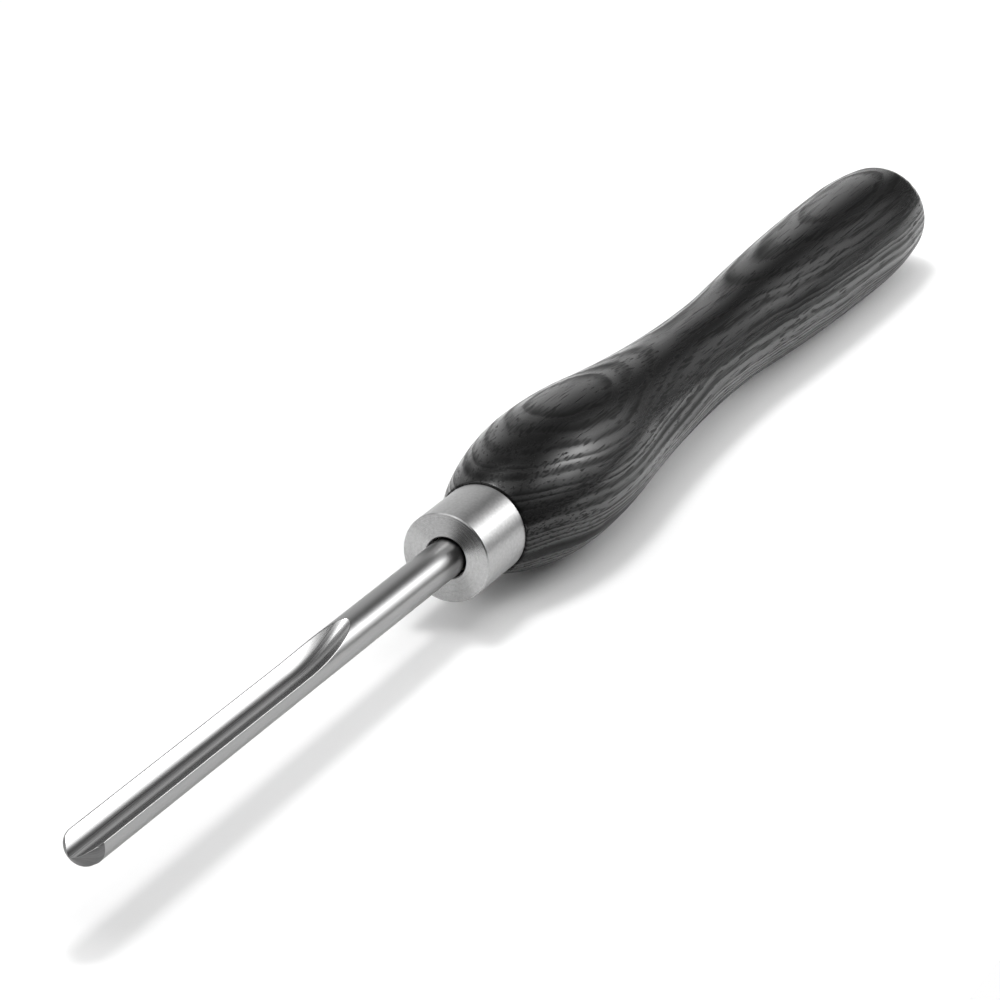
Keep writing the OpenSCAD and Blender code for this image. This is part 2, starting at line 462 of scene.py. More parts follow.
def turned_piece(name, outline, segments, material):
    """A piece turned from an outline of (depth, radius) points, as a plain closed mesh."""
    line = bpy.data.meshes.new(name + "_outline")
    line.from_pydata([(-depth, 0.0, radius) for depth, radius in outline], [], [])
    piece = new_object(name, line)
    tree, sockets = lathe_tree()
    lathe = piece.modifiers.new("Lathe", "NODES")
    lathe.node_group = tree
    lathe[sockets["points"]] = len(outline)
    lathe[sockets["segments"]] = segments
    lathe[sockets["weld"]] = WELD_DISTANCE
    lathe[sockets["finish"]] = material
    return plain_mesh(piece, sharp_angle=25)


def plain_mesh(piece, sharp_angle):
    """Replaces a piece's mesh by its evaluated one, drops its modifiers and points its faces out.

    Edges that turn by more than the sharp angle, in degrees, stay sharp.
    """
    evaluated = piece.evaluated_get(bpy.context.evaluated_depsgraph_get())
    mesh = bpy.data.meshes.new_from_object(evaluated)
    piece.modifiers.clear()
    piece.data = mesh
    work = bmesh.new()
    work.from_mesh(mesh)
    bmesh.ops.dissolve_degenerate(work, edges=work.edges, dist=SHORTEST_EDGE)
    bmesh.ops.recalc_face_normals(work, faces=work.faces)
    loose = [e for e in work.edges if not e.is_manifold]
    if loose or work.calc_volume(signed=True) <= 0:
        raise RuntimeError(f"{piece.name} isn't a closed solid: {len(loose)} open edges")
    work.to_mesh(mesh)
    work.free()
    mesh.shade_smooth()
    mesh.set_sharp_from_angle(angle=math.radians(sharp_angle))
    mesh.name = piece.name
    return piece


# Blade

# Places of the finishes among the blade's materials.
BAR_FINISH, FLUTE_FINISH, BEVEL_FINISH = 0, 1, 2
# Steps along the blade: its shank, run-out, flute, heel, the round behind the bevel, and the bevel.
SHANK_STEPS, RUNOUT_STEPS, FLUTE_STEPS, HEEL_STEPS, ROUND_STEPS, BEVEL_STEPS = 12, 40, 24, 4, 10, 28
# Steps around the outside of a section of the blade, and across its flute.
AROUND_STEPS, ACROSS_STEPS = 72, 40
# Half the width, as a share of the bar's, of the strip that carries the flute's mesh on along plain bar.
STRIP_SHARE = 0.04
# A station counts as past the heel when it is this far beyond it.
PAST_HEEL = 0.01 * MM


def flute_rise(y, blade):
    """Height of the flute's section above the floor's lowest line, at y from its middle."""
    sin_turn, cos_turn = math.sin(blade.flute_turn), math.cos(blade.flute_turn)
    if abs(y) < blade.flute_r * sin_turn:
        return arc_fall(blade.flute_r, y)
    extra = blade.wall_r - blade.flute_r
    return arc_fall(blade.wall_r, abs(y) + extra * sin_turn) - extra * (1 - cos_turn)


def flute_height(y, back, blade):
    """Height of the flute's surface at y, a distance back along the run-out, before the roll."""
    reach = blade.wheel_r - flute_rise(y, blade)
    return blade.flute_web - blade.bar_d / 2 + blade.wheel_r - math.sqrt(reach * reach - back * back)


def rim_half_width(radius, back, blade):
    """Half the flute's width where its surface meets a section of the given radius, or 0."""
    if flute_height(0.0, back, blade) >= radius:
        return 0.0
    low, high = 0.0, radius
    for _ in range(60):
        y = (low + high) / 2
        if y * y + flute_height(y, back, blade) ** 2 < radius * radius:
            low = y
        else:
            high = y
    return low


def shares(steps):
    """Shares of a run, from its first step to its end."""
    return [i / steps for i in range(1, steps + 1)]


def blade_stations(blade):
    """Sections of the blade as (x, radius, distance back along the run-out), and where the heel begins.

    The distance is 0 along the full-depth flute, and None where the section is plain round.
    """
    bar_r = blade.bar_d / 2
    tang_r = bar_r - blade.tang_relief
    edge_r = bar_r - blade.flute_web
    runout = blade.blade_out - blade.flute_l
    rise = blade.bar_d - blade.flute_web
    runout_l = math.sqrt(blade.wheel_r**2 - (blade.wheel_r - rise) ** 2)
    shank = runout - runout_l
    heel_sin, heel_cos = math.sin(blade.heel_angle), math.cos(blade.heel_angle)
    heel_end_r = bar_r - blade.heel_l * math.tan(blade.heel_angle)
    bevel_r = heel_end_r - blade.heel_round * (heel_cos - math.cos(blade.bevel_angle))
    bevel = blade.blade_out - (bevel_r - edge_r) / math.tan(blade.bevel_angle)
    heel_end = bevel - blade.heel_round * (math.sin(blade.bevel_angle) - heel_sin)
    heel = heel_end - blade.heel_l

    stations = [
        (-blade.tang_l, tang_r - blade.tang_chamfer, None),
        (-blade.tang_l + blade.tang_chamfer, tang_r, None),
        (0.0, tang_r, None),
        (0.0, bar_r, None),
    ]
    stations += [(shank * share, bar_r, None) for share in shares(SHANK_STEPS)]
    for share in shares(RUNOUT_STEPS):
        back = runout_l * (1 - share * share)
        stations.append((runout - back, bar_r, back))
    stations += [(runout + (heel - runout) * share, bar_r, 0.0) for share in shares(FLUTE_STEPS)]
    for share in shares(HEEL_STEPS):
        stations.append((heel + blade.heel_l * share, bar_r + (heel_end_r - bar_r) * share, 0.0))
    for share in shares(ROUND_STEPS):
        angle = blade.heel_angle + (blade.bevel_angle - blade.heel_angle) * share
        radius = heel_end_r - blade.heel_round * (heel_cos - math.cos(angle))
        stations.append((heel_end + blade.heel_round * (math.sin(angle) - heel_sin), radius, 0.0))
    for share in shares(BEVEL_STEPS)[:-1]:
        reach = 1 - (1 - share) ** 2
        radius = bevel_r + (edge_r - bevel_r) * reach
        stations.append((bevel + (blade.blade_out - bevel) * reach, radius, 0.0))
    return stations, heel


def blade_section(x, radius, back, blade):
    """Points round a section from rim to rim and back across the flute, and the flute's half-width."""
    half = 0.0 if back is None else rim_half_width(radius, back, blade)
    fluted = half > 0.0
    strip = half if fluted else min(STRIP_SHARE * blade.bar_d, radius / 2)
    start = math.asin(strip / radius)
    if fluted and flute_height(half, back, blade) < 0:
        start = math.pi - start
    points = []
    for i in range(AROUND_STEPS + 1):
        angle = start + (math.tau - 2 * start) * i / AROUND_STEPS
        points.append((x, radius * math.sin(angle), radius * math.cos(angle)))
    for i in range(1, ACROSS_STEPS):
        y = strip * (2 * i / ACROSS_STEPS - 1)
        z = flute_height(y, back, blade) if fluted else math.sqrt(radius * radius - y * y)
        points.append((x, y, z))
    return points, half


def weigh_rims(work, rings, halves, bar_d):
    """Marks both rims of the flute for their break, which fades out as the flute narrows."""
    for name, corner in (("near_rim", 0), ("far_rim", AROUND_STEPS)):
        weight = work.edges.layers.float.new(name)
        for half, a, b in zip(halves, rings, rings[1:]):
            work.edges.get((a[corner], b[corner]))[weight] = min(1.0, 2 * half / bar_d)


def blade_mesh(blade):
    """The bar with its flute, made of sections that keep two corners along the flute's rims."""
    turn = Matrix.Rotation(-blade.flute_roll, 3, "X")
    stations, heel = blade_stations(blade)
    work = bmesh.new()
    rings, halves = [], []
    for x, radius, back in stations:
        points, half = blade_section(x, radius, back, blade)
        rings.append([work.verts.new(turn @ Vector(point)) for point in points])
        halves.append(half)
    count = AROUND_STEPS + ACROSS_STEPS
    for (x, _, back), a, b in zip(stations[1:], rings, rings[1:]):
        outside = BEVEL_FINISH if x > heel + PAST_HEEL else BAR_FINISH
        inside = BAR_FINISH if back is None else FLUTE_FINISH
        for i in range(count):
            j = (i + 1) % count
            face = work.faces.new((a[i], a[j], b[j], b[i]))
            face.material_index = outside if i < AROUND_STEPS else inside
    work.faces.new(rings[0])
    tip = work.verts.new(turn @ Vector((blade.blade_out, 0.0, blade.flute_web - blade.bar_d / 2)))
    last = rings[-1]
    for i in range(count):
        face = work.faces.new((last[i], last[(i + 1) % count], tip))
        face.material_index = BEVEL_FINISH if i < AROUND_STEPS else FLUTE_FINISH
    weigh_rims(work, rings, halves, blade.bar_d)
    bmesh.ops.recalc_face_normals(work, faces=work.faces)
    mesh = bpy.data.meshes.new("blade")
    work.to_mesh(mesh)
    work.free()
    return mesh


# Finishes

# Tint that keeps steel from turning bright where it is seen at a slant.
STEEL_EDGE_TINT = (0.75, 0.75, 0.75, 1.0)
# Turn, as a share of a full one, of a highlight that spreads across the marks around a piece.
QUARTER_TURN = 0.25


def ash_stained_lacquered(finish):
    """Open-grained ash, stained black and lacquered satin.

    The lacquer lies smooth on the dense late wood and sinks into the porous early wood that begins each
    growth ring, so the rings show as soft dull bands in a satin gloss, with fine dark dashes where pores
    stay open. The bands run long and straight on the sides of the board, and in arches where the turning
    cuts through level rings on top.
    """
    material, add = new_material("ash_black_stain_satin_lacquer")
    ring, ring_swing, year_run = 2 * MM, 4 * MM, 5 * MM
    pith_depth, pith_slope = 76 * MM, 0.012
    wander_l, wander_w = 60 * MM, 6 * MM
    pore_l, pore_w = 12 * MM, 0.42 * MM
    streak_l, streak_w = 90 * MM, 6 * MM

    # The rings lie around a pith that runs under the handle, and wander a little from true rounds.
    place = add("ShaderNodeTexCoord").outputs["Object"]
    wander = add("ShaderNodeTexNoise", {"Vector": place, "Scale": 1 / wander_l, "Detail": 2.0})
    wander = add("ShaderNodeVectorMath", [wander.outputs["Color"], (0.5, 0.5, 0.5)], operation="SUBTRACT")
    sway = (0.0, wander_w, wander_w)
    wander = add("ShaderNodeVectorMath", [wander.outputs[0], sway], operation="MULTIPLY")
    grown = add("ShaderNodeVectorMath", [place, wander.outputs[0]], operation="ADD")
    board = add(
        "ShaderNodeMapping",
        {
            "Vector": grown.outputs[0],
            "Location": (0.0, 0.0, pith_depth),
            "Rotation": (0.0, pith_slope, 0.0),
        },
    )
    across = add("ShaderNodeVectorMath", [board.outputs[0], (0.0, 1.0, 1.0)], operation="MULTIPLY")
    radius = add("ShaderNodeVectorMath", [across.outputs[0]], operation="LENGTH")
    # Good and poor years make some rings wider than others.
    years = add(
        "ShaderNodeTexNoise",
        {"W": radius.outputs["Value"], "Scale": 1 / year_run, "Detail": 1.0},
        noise_dimensions="1D",
    )
    rings = add(
        "ShaderNodeMath",
        [years.outputs["Fac"], ring_swing, radius.outputs["Value"]],
        operation="MULTIPLY_ADD",
    )
    rings = add("ShaderNodeMath", [rings.outputs[0], 1 / ring], operation="MULTIPLY")
    phase = add("ShaderNodeMath", [rings.outputs[0]], operation="FRACT")
    early = add("ShaderNodeMapRange", [phase.outputs[0], 0.0, 0.7, 1.0, 0.0], **SMOOTH)
    start = add("ShaderNodeMapRange", [phase.outputs[0], 0.75, 1.0, 0.0, 1.0], **SMOOTH)
    early = add("ShaderNodeMath", [early.outputs[0], start.outputs[0]], operation="MAXIMUM")

    # Pores run along the grain, crowded in early wood and sparse in late wood. They are drawn wider than
    # real ones, so that they show.
    pore = add("ShaderNodeMapping", {"Vector": place, "Scale": (1 / pore_l, 1 / pore_w, 1 / pore_w)})
    pore = add("ShaderNodeTexNoise", {"Vector": pore.outputs[0], "Scale": 1.0, "Detail": 1.0})
    pore = add("ShaderNodeMath", [early.outputs[0], 0.18, pore.outputs["Fac"]], operation="MULTIPLY_ADD")
    open_pore = add("ShaderNodeMapRange", [pore.outputs[0], 0.61, 0.7, 0.0, 0.85], **SMOOTH)
    # Broad streaks along the grain took up more or less of the lacquer.
    streak = add(
        "ShaderNodeMapping",
        {"Vector": grown.outputs[0], "Scale": (1 / streak_l, 1 / streak_w, 1 / streak_w)},
    )
    streak = add("ShaderNodeTexNoise", {"Vector": streak.outputs[0], "Scale": 1.0, "Detail": 1.0})
    streak = add("ShaderNodeMapRange", [streak.outputs["Fac"], 0.42, 0.65, 0.0, 0.4])
    wood = add(
        "ShaderNodeMix",
        {0: early.outputs[0], MIX_A: tuple(finish.late_wood), MIX_B: tuple(finish.early_wood)},
        data_type="RGBA",
    )
    stained = add(
        "ShaderNodeMix",
        {0: open_pore.outputs[0], MIX_A: wood.outputs[MIX_RESULT], MIX_B: tuple(finish.pores)},
        data_type="RGBA",
    )
    # Where the lacquer sank, the wood is rougher and has lost its gloss.
    sunk = add("ShaderNodeMath", [early.outputs[0], 0.55, streak.outputs[0]], operation="MULTIPLY_ADD")
    dull = add("ShaderNodeMath", [open_pore.outputs[0], sunk.outputs[0]], operation="MAXIMUM")
    rough = add("ShaderNodeMapRange", [dull.outputs[0], 0.0, 1.0, 0.16, 0.45])
    gloss = add("ShaderNodeMapRange", [dull.outputs[0], 0.0, 1.0, 0.6, 0.04])
    height = add("ShaderNodeMath", [open_pore.outputs[0], -1.0], operation="MULTIPLY")
    bump = add("ShaderNodeBump", {"Height": height.outputs[0], "Strength": 0.15, "Distance": 0.1 * MM})
    shader = add(
        "ShaderNodeBsdfPrincipled",
        {
            "Base Color": stained.outputs[MIX_RESULT],
            "Roughness": rough.outputs[0],
            "IOR": 1.47,
            "Specular IOR Level": gloss.outputs[0],
            "Normal": bump.outputs[0],
        },
    )
    add("ShaderNodeOutputMaterial", [shader.outputs[0]])
    return material


def aluminium_fine_turned(finish):
    """Aluminium, fine-turned on a lathe.

    The tool leaves fine rings, which spread a highlight along the side. The facing cut leaves a smoother
    sawtooth with wide flanks that lean outwards, so the flat face shows a light and a dark fan.
    """
    material, add = new_material("aluminium_fine_turned")
    ring_pitch, mark_size = 0.25 * MM, 0.8 * MM
    flank_lean = math.radians(24)
    given = add("ShaderNodeTexCoord")
    place = given.outputs["Object"]
    apart = add("ShaderNodeSeparateXYZ", [place])
    across = add("ShaderNodeVectorMath", [place, (0.0, 1.0, 1.0)], operation="MULTIPLY")
    radius = add("ShaderNodeVectorMath", [across.outputs[0]], operation="LENGTH")
    track = add("ShaderNodeMath", [apart.outputs["X"], radius.outputs["Value"]], operation="SUBTRACT")
    marks = add(
        "ShaderNodeTexNoise",
        {"W": track.outputs[0], "Scale": 1 / ring_pitch, "Detail": 3.0, "Roughness": 0.7},
        noise_dimensions="1D",
    )
    around = add("ShaderNodeVectorMath", [AXIS, place], operation="CROSS_PRODUCT")
    bump = add("ShaderNodeBump", {"Height": marks.outputs["Fac"], "Strength": 0.15, "Distance": 0.05 * MM})
    rough = add("ShaderNodeMapRange", [marks.outputs["Fac"], 0.3, 0.7, 0.3, 0.4])

    # The front face is smoother than the side, and its grooves lean the normal away from the axis.
    facing = add("ShaderNodeSeparateXYZ", [given.outputs["Normal"]])
    face = add("ShaderNodeMapRange", [facing.outputs["X"], 0.9, 0.95, 0.0, 1.0])
    rough = add("ShaderNodeMath", [face.outputs[0], -0.1, rough.outputs[0]], operation="MULTIPLY_ADD")
    flank = add("ShaderNodeMath", [face.outputs[0], math.tan(flank_lean)], operation="MULTIPLY")
    lean = add("ShaderNodeVectorMath", [across.outputs[0]], operation="NORMALIZE")
    lean = add(
        "ShaderNodeVectorTransform",
        [lean.outputs[0]],
        vector_type="NORMAL",
        convert_from="OBJECT",
        convert_to="WORLD",
    )
    lean = add("ShaderNodeVectorMath", {0: lean.outputs[0], "Scale": flank.outputs[0]}, operation="SCALE")
    normal = add("ShaderNodeVectorMath", [bump.outputs[0], lean.outputs[0]], operation="ADD")
    normal = add("ShaderNodeVectorMath", [normal.outputs[0]], operation="NORMALIZE")

    # Handling leaves fine marks all over, a little duller than the cut metal.
    worn = add("ShaderNodeTexNoise", {"Vector": place, "Scale": 1 / mark_size, "Detail": 4.0})
    worn = add("ShaderNodeMapRange", [worn.outputs["Fac"], 0.3, 0.7, 0.86, 1.06])
    metal = add(
        "ShaderNodeVectorMath",
        {0: tuple(finish.aluminium)[:3], "Scale": worn.outputs[0]},
        operation="SCALE",
    )
    shader = add(
        "ShaderNodeBsdfPrincipled",
        {
            "Base Color": metal.outputs[0],
            "Metallic": 1.0,
            "Roughness": rough.outputs[0],
            "Anisotropic": 0.6,
            "Anisotropic Rotation": QUARTER_TURN,
            "Tangent": around.outputs[0],
            "Normal": normal.outputs[0],
        },
    )
    add("ShaderNodeOutputMaterial", [shader.outputs[0]])
    return material


def steel_round_ground(finish):
    """High-speed steel bar, ground round.

    Fine marks run around the bar, so a highlight spreads along it and its dark side stays hazy. They are
    drawn coarser than the wheel leaves them, so that they show.
    """
    material, add = new_material("high_speed_steel_round_ground")
    mark_w, mark_l = 0.1 * MM, 3 * MM
    place = add("ShaderNodeTexCoord").outputs["Object"]
    marks = add("ShaderNodeMapping", {"Vector": place, "Scale": (1 / mark_w, 1 / mark_l, 1 / mark_l)})
    marks = add("ShaderNodeTexNoise", {"Vector": marks.outputs[0], "Scale": 1.0, "Detail": 3.0})
    around = add("ShaderNodeVectorMath", [AXIS, place], operation="CROSS_PRODUCT")
    rough = add("ShaderNodeMapRange", [marks.outputs["Fac"], 0.35, 0.65, 0.28, 0.34])
    bump = add("ShaderNodeBump", {"Height": marks.outputs["Fac"], "Strength": 0.03, "Distance": 0.02 * MM})
    shader = add(
        "ShaderNodeBsdfPrincipled",
        {
            "Base Color": tuple(finish.steel),
            "Metallic": 1.0,
            "Roughness": rough.outputs[0],
            "Anisotropic": 0.4,
            "Anisotropic Rotation": QUARTER_TURN,
            "Tangent": around.outputs[0],
            "Specular Tint": STEEL_EDGE_TINT,
            "Normal": bump.outputs[0],
        },
    )
    add("ShaderNodeOutputMaterial", [shader.outputs[0]])
    return material


def steel_flute_polished(finish):
    """High-speed steel flute, milled along the bar and polished.

    It mirrors the room more clearly than the bar does, with faint streaks along the cutter's path.
    """
    material, add = new_material("high_speed_steel_flute_polished")
    streak_l, streak_w = 40 * MM, 0.25 * MM
    place = add("ShaderNodeTexCoord").outputs["Object"]
    path = add("ShaderNodeMapping", {"Vector": place, "Scale": (1 / streak_l, 1 / streak_w, 0.0)})
    streaks = add("ShaderNodeTexNoise", {"Vector": path.outputs[0], "Scale": 1.0, "Detail": 3.0})
    rough = add("ShaderNodeMapRange", [streaks.outputs["Fac"], 0.3, 0.7, 0.2, 0.3])
    shader = add(
        "ShaderNodeBsdfPrincipled",
        {
            "Base Color": tuple(finish.steel_flute),
            "Metallic": 1.0,
            "Roughness": rough.outputs[0],
            "Specular Tint": STEEL_EDGE_TINT,
        },
    )
    add("ShaderNodeOutputMaterial", [shader.outputs[0]])
    return material


def steel_bevel_ground(finish):
    """High-speed steel bevel, fresh from the grinding wheel.

    The grit leaves scratches from heel to edge, which scatter the light and dull the bevel.
    """
    material, add = new_material("high_speed_steel_bevel_ground")
    scratch_l, scratch_turn = 6 * MM, math.radians(4)
    place = add("ShaderNodeTexCoord").outputs["Object"]
    apart = add("ShaderNodeSeparateXYZ", [place])
    angle = add("ShaderNodeMath", [apart.outputs["Y"], apart.outputs["Z"]], operation="ARCTAN2")
    swept = add("ShaderNodeCombineXYZ", {"X": apart.outputs["X"], "Y": angle.outputs[0]})
    grit = add(
        "ShaderNodeMapping",
        {"Vector": swept.outputs[0], "Scale": (1 / scratch_l, 1 / scratch_turn, 1.0)},
    )
    grit = add(
        "ShaderNodeTexNoise",
        {"Vector": grit.outputs[0], "Scale": 1.0, "Detail": 3.0, "Roughness": 0.7},
    )
    rough = add("ShaderNodeMapRange", [grit.outputs["Fac"], 0.3, 0.7, 0.34, 0.52])
    tint = add("ShaderNodeMapRange", [grit.outputs["Fac"], 0.3, 0.7, 0.7, 1.2])
    ground = add(
        "ShaderNodeMix",
        {0: 1.0, MIX_A: tuple(finish.steel_bevel), MIX_B: tint.outputs[0]},
        data_type="RGBA",
        blend_type="MULTIPLY",
    )
    bump = add("ShaderNodeBump", {"Height": grit.outputs["Fac"], "Strength": 0.2, "Distance": 0.05 * MM})
    shader = add(
        "ShaderNodeBsdfPrincipled",
        {
            "Base Color": ground.outputs[MIX_RESULT],
            "Metallic": 1.0,
            "Roughness": rough.outputs[0],
            "Specular Tint": STEEL_EDGE_TINT,
            "Normal": bump.outputs[0],
        },
    )
    add("ShaderNodeOutputMaterial", [shader.outputs[0]])
    return material


def adhesive_cured(finish):
    """Two-part adhesive, cured in the tang hole: amber, slightly clouded and glossy."""
    material, add = new_material("epoxy_cured")
    place = add("ShaderNodeTexCoord").outputs["Object"]
    cloud = add("ShaderNodeTexNoise", {"Vector": place, "Scale": 1 / (3 * MM), "Detail": 3.0})
    rough = add("ShaderNodeMapRange", [cloud.outputs["Fac"], 0.3, 0.7, 0.2, 0.4])
    shader = add(
        "ShaderNodeBsdfPrincipled",
        {"Base Color": tuple(finish.adhesive), "Roughness": rough.outputs[0], "IOR": 1.55},
    )
    add("ShaderNodeOutputMaterial", [shader.outputs[0]])
    return material


def floor_paper(finish):
    """White paper sweep: matt, and clean enough to show as pure white where nothing shades it."""
    material, add = new_material("paper_white_matt")
    paper = add("ShaderNodeBsdfDiffuse", [tuple(finish.floor)])
    add("ShaderNodeOutputMaterial", [paper.outputs[0]])
    return material


# Stage


def resting_plane(handle, ferrule):
    """The plane that the belly and the swell rest on, as a point under the belly and a normal."""
    belly_x = -(ferrule.depth + handle.belly_at)
    swell_x = -(ferrule.depth + handle.handle_l - handle.swell_from_butt)
    slope = (handle.belly_d - handle.swell_d) / 2 / (belly_x - swell_x)
    normal = Vector((math.sin(slope), 0.0, math.cos(slope)))
    return Vector((belly_x, 0.0, 0.0)) - normal * (handle.belly_d / 2), normal


def lay_floor(touch, normal, sizes, finish):
    """The sheet of paper that the tool lies on."""
    along = Vector((normal.z, 0.0, -normal.x)) * sizes.floor_reach
    left, right = Vector((0.0, -sizes.floor_reach, 0.0)), Vector((0.0, sizes.floor_right, 0.0))
    corners = [touch + left - along, touch + left + along, touch + right + along, touch + right - along]
    mesh = bpy.data.meshes.new("floor")
    mesh.from_pydata(corners, [], [(0, 1, 2, 3)])
    mesh.materials.append(floor_paper(finish))
    return new_object("floor", mesh)


def hang_lamp(aim, sizes):
    """The small round lamp, a little to the left of straight overhead, that faces a point."""
    away = Vector((0.0, -0.13, 1.0)).normalized()
    lamp = bpy.data.lights.new("overhead_lamp", "AREA")
    lamp.shape = "DISK"
    lamp.size = sizes.key_size
    lamp.energy = sizes.key_power
    placed = new_object("overhead_lamp", lamp)
    placed.location = aim + away * sizes.key_distance
    placed.rotation_mode = "QUATERNION"
    placed.rotation_quaternion = away.to_track_quat("Z", "Y")


def set_room(scene, sizes):
    """The room that lights the tool and that its gloss reflects.

    A wide sheet of light hangs over the tool and a pale wall stands on the left, in a dim room. The
    camera itself sees plain white behind the paper.
    """
    world = bpy.data.worlds.new("room")
    world.use_nodes = True
    world.node_tree.nodes.clear()
    add = partial(add_node, world.node_tree)
    way = add("ShaderNodeTexCoord").outputs["Generated"]
    _, right, up = add("ShaderNodeSeparateXYZ", [way]).outputs

    # How far the sheet reaches each way for its height. Each edge is a plane through the tool, given by
    # its normal, with the light softened a little to both sides.
    to_rear, to_front, to_left, to_right = 0.27, 0.55, 0.9, 0.6
    soft = 0.07
    edges = ((1.0, 0.0, to_rear), (-1.0, 0.0, to_front), (0.0, 1.0, to_left), (0.0, -1.0, to_right))
    light = sizes.sheet
    for edge in edges:
        inside = add("ShaderNodeVectorMath", [way, edge], operation="DOT_PRODUCT").outputs["Value"]
        inside = add("ShaderNodeMapRange", [inside, -soft, soft, 0.0, 1.0], **SMOOTH)
        light = add("ShaderNodeMath", [light, inside.outputs[0]], operation="MULTIPLY").outputs[0]

    left = add("ShaderNodeMapRange", [right, -0.45, 0.0, sizes.left_wall, 0.0], **SMOOTH).outputs[0]
    low = add("ShaderNodeMapRange", [up, 0.3, 0.85, 1.0, 0.0], **SMOOTH).outputs[0]
    light = add("ShaderNodeMath", [left, low, light], operation="MULTIPLY_ADD").outputs[0]
    light = add("ShaderNodeMath", [light, sizes.dim], operation="ADD").outputs[0]

    path = add("ShaderNodeLightPath")
    seen = add(
        "ShaderNodeMix",
        {0: path.outputs["Is Camera Ray"], MIX_FLOAT_A: light, MIX_FLOAT_B: 1.0},
    )
    room = add("ShaderNodeBackground", {"Color": (1, 1, 1, 1), "Strength": seen.outputs[0]})
    add("ShaderNodeOutputWorld", [room.outputs[0]])
    scene.world = world


def window_daylight(sizes):
    """Daylight through a window: bright in the middle, and fading over the wall around and below it."""
    material, add = new_material("window_daylight")
    window_spread, glow_spread, glow_drop = 83 * MM, 185 * MM, 55 * MM
    place = add("ShaderNodeTexCoord").outputs["Object"]
    light = 0.0
    for strength, spread, drop in (
        (sizes.window, window_spread, 0.0),
        (sizes.window_glow, glow_spread, glow_drop),
    ):
        centre = (0.0, -drop, 0.0)
        out = add("ShaderNodeVectorMath", [place, centre], operation="DISTANCE")
        fall = add("ShaderNodeMath", [out.outputs["Value"], spread * math.sqrt(2)], operation="DIVIDE")
        fall = add("ShaderNodeMath", [fall.outputs[0], 2.0], operation="POWER")
        fall = add("ShaderNodeMath", [fall.outputs[0], -1.0], operation="MULTIPLY")
        fall = add("ShaderNodeMath", [fall.outputs[0]], operation="EXPONENT")
        light = add("ShaderNodeMath", [fall.outputs[0], strength, light], operation="MULTIPLY_ADD").outputs[0]
    glow = add("ShaderNodeEmission", {"Color": (1, 1, 1, 1), "Strength": light})
    add("ShaderNodeOutputMaterial", [glow.outputs[0]])
    return material


def window_panel(sizes):
    """The window beyond the handle, as a panel that faces the ferrule and that the camera doesn't see."""
    distance, reach = 700 * MM, 400 * MM
    way = Vector((-0.645, 0.562, 0.518)).normalized()
    mesh = bpy.data.meshes.new("window_panel")
    corners = [(-reach, -reach, 0.0), (reach, -reach, 0.0), (reach, reach, 0.0), (-reach, reach, 0.0)]
    mesh.from_pydata(corners, [], [(0, 1, 2, 3)])
    mesh.materials.append(window_daylight(sizes))
    panel = new_object("window_panel", mesh)
    panel.location = way * distance
    panel.rotation_mode = "QUATERNION"
    panel.rotation_quaternion = (-way).to_track_quat("Z", "Y")
    panel.visible_camera = False
    return panel


def set_camera(scene, sizes):
    """The camera at the photograph's viewing angle."""
    lens = bpy.data.cameras.new("camera")
    lens.lens = sizes.lens
    lens.sensor_width = 36.0
    camera = new_object("camera", lens)
    camera.matrix_world = Matrix.LocRotScale(Vector(sizes.camera_from), Euler(sizes.camera_turn), None)
    scene.camera = camera


# Operators


def stand_for(piece, node):
    """Lets a piece ride on the part in the place of a CAD node, which it hides."""
    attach(piece, "root")
    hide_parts(node)


class GOUGE_OT_handle(bpy.types.Operator):
    """Turn the ash handle with its tenon and tang hole"""

    bl_idname = "gouge.handle"
    bl_label = "Handle"

    def execute(self, context):
        scene = context.scene
        outline = handle_outline(scene.gouge_handle, scene.gouge_ferrule, scene.gouge_blade)
        wood = ash_stained_lacquered(scene.gouge_finishes)
        piece = turned_piece("ash_handle", outline, scene.gouge_handle.segments, wood)
        stand_for(piece, "handle")
        return {"FINISHED"}


class GOUGE_OT_ferrule(bpy.types.Operator):
    """Turn the ferrule"""

    bl_idname = "gouge.ferrule"
    bl_label = "Ferrule"

    def execute(self, context):
        scene = context.scene
        outline = ferrule_outline(scene.gouge_ferrule, scene.gouge_blade)
        metal = aluminium_fine_turned(scene.gouge_finishes)
        piece = turned_piece("turned_ferrule", outline, scene.gouge_handle.segments, metal)
        stand_for(piece, "ferrule")
        return {"FINISHED"}


class GOUGE_OT_blade(bpy.types.Operator):
    """Make the bar with its flute, run-out and bevel"""

    bl_idname = "gouge.blade"
    bl_label = "Blade"

    def execute(self, context):
        scene = context.scene
        sizes = scene.gouge_blade
        piece = new_object("fluted_blade", blade_mesh(sizes))
        for finish in (steel_round_ground, steel_flute_polished, steel_bevel_ground):
            piece.data.materials.append(finish(scene.gouge_finishes))
        for rim, finish in (("near_rim", FLUTE_FINISH), ("far_rim", BEVEL_FINISH)):
            round_off = piece.modifiers.new(rim, "BEVEL")
            round_off.limit_method = "WEIGHT"
            round_off.edge_weight = rim
            round_off.width = sizes.rim_break
            round_off.segments = 14
            round_off.use_clamp_overlap = False
            round_off.material = finish
        plain_mesh(piece, sharp_angle=10)
        stand_for(piece, "blade")
        return {"FINISHED"}


class GOUGE_OT_adhesive(bpy.types.Operator):
    """Give the adhesive around the tang its finish"""

    bl_idname = "gouge.adhesive"
    bl_label = "Tang Adhesive"

    def execute(self, context):
        node = CAD_NODES["tang_adhesive"]
        node.data.materials.clear()
        node.data.materials.append(adhesive_cured(context.scene.gouge_finishes))
        return {"FINISHED"}


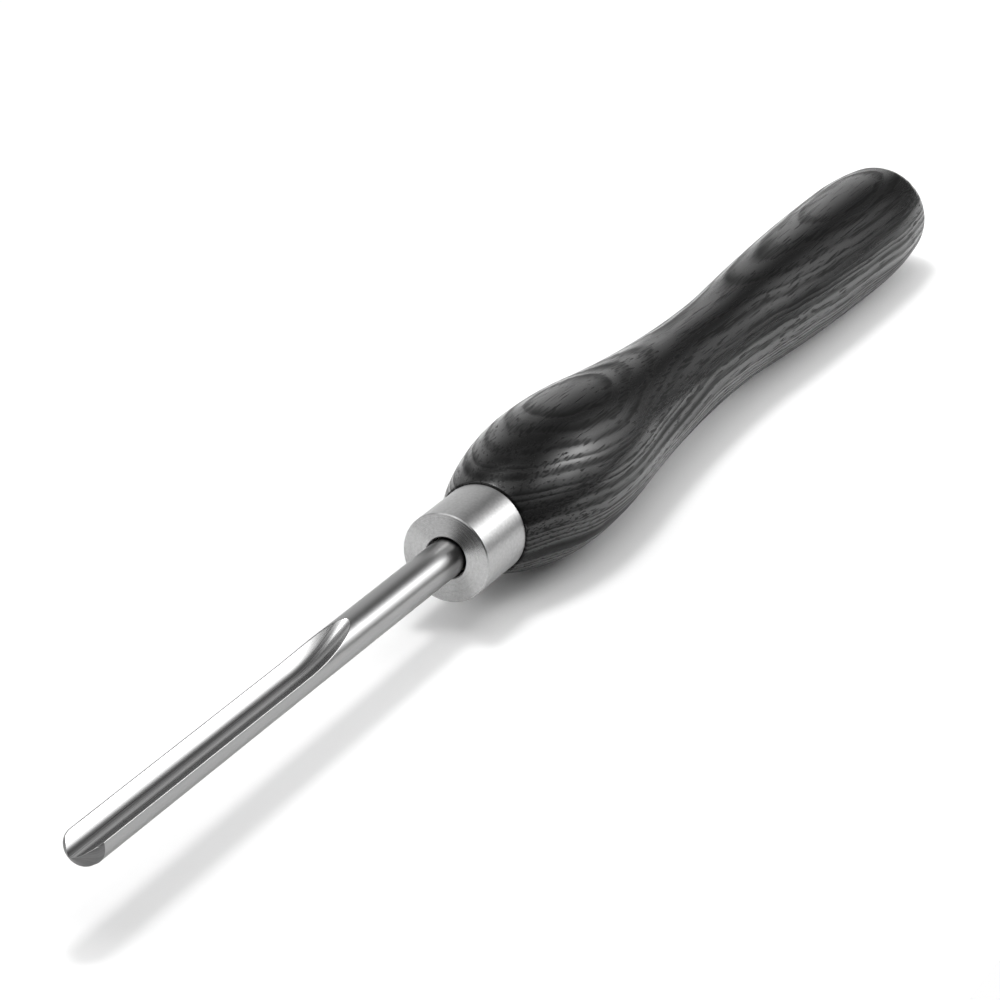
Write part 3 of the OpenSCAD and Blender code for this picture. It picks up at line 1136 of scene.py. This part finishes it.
class GOUGE_OT_stage(bpy.types.Operator):
    """Lay the floor under the tool and set the lamps, the room and the camera"""

    bl_idname = "gouge.stage"
    bl_label = "Stage"

    def execute(self, context):
        scene = context.scene
        sizes = scene.gouge_stage
        touch, normal = resting_plane(scene.gouge_handle, scene.gouge_ferrule)
        lay_floor(touch, normal, sizes, scene.gouge_finishes)
        set_room(scene, sizes)
        window_panel(sizes)
        hang_lamp(touch, sizes)
        set_camera(scene, sizes)
        scene.view_settings.view_transform = "Standard"
        return {"FINISHED"}


class GOUGE_PT_parts(bpy.types.Panel):
    """Lists the gouge's pieces and their sizes"""

    bl_idname = "GOUGE_PT_parts"
    bl_label = "Spindle Gouge"
    bl_space_type = "VIEW_3D"
    bl_region_type = "UI"
    bl_category = "Gouge"

    def draw(self, context):
        layout = self.layout
        for operator in OPERATORS:
            layout.operator(operator.bl_idname)
        for group in GROUPS:
            box = layout.box()
            settings = getattr(context.scene, group)
            for name in settings.bl_rna.properties.keys():
                if name not in {"rna_type", "name"}:
                    box.prop(settings, name)


OPERATORS = (
    GOUGE_OT_handle,
    GOUGE_OT_ferrule,
    GOUGE_OT_blade,
    GOUGE_OT_adhesive,
    GOUGE_OT_stage,
)
GROUPS = {
    "gouge_blade": GougeBladeSizes,
    "gouge_ferrule": GougeFerruleSizes,
    "gouge_handle": GougeHandleSizes,
    "gouge_finishes": GougeFinishes,
    "gouge_stage": GougeStageSizes,
}


def register():
    for name, group in GROUPS.items():
        bpy.utils.register_class(group)
        setattr(bpy.types.Scene, name, PointerProperty(type=group))
    for operator in OPERATORS:
        bpy.utils.register_class(operator)
    bpy.utils.register_class(GOUGE_PT_parts)


def unregister():
    bpy.utils.unregister_class(GOUGE_PT_parts)
    for operator in reversed(OPERATORS):
        bpy.utils.unregister_class(operator)
    for name, group in reversed(GROUPS.items()):
        delattr(bpy.types.Scene, name)
        bpy.utils.unregister_class(group)


def main():
    register()
    bpy.ops.gouge.handle()
    bpy.ops.gouge.ferrule()
    bpy.ops.gouge.blade()
    bpy.ops.gouge.adhesive()
    bpy.ops.gouge.stage()


if __name__ == "__main__":
    main()
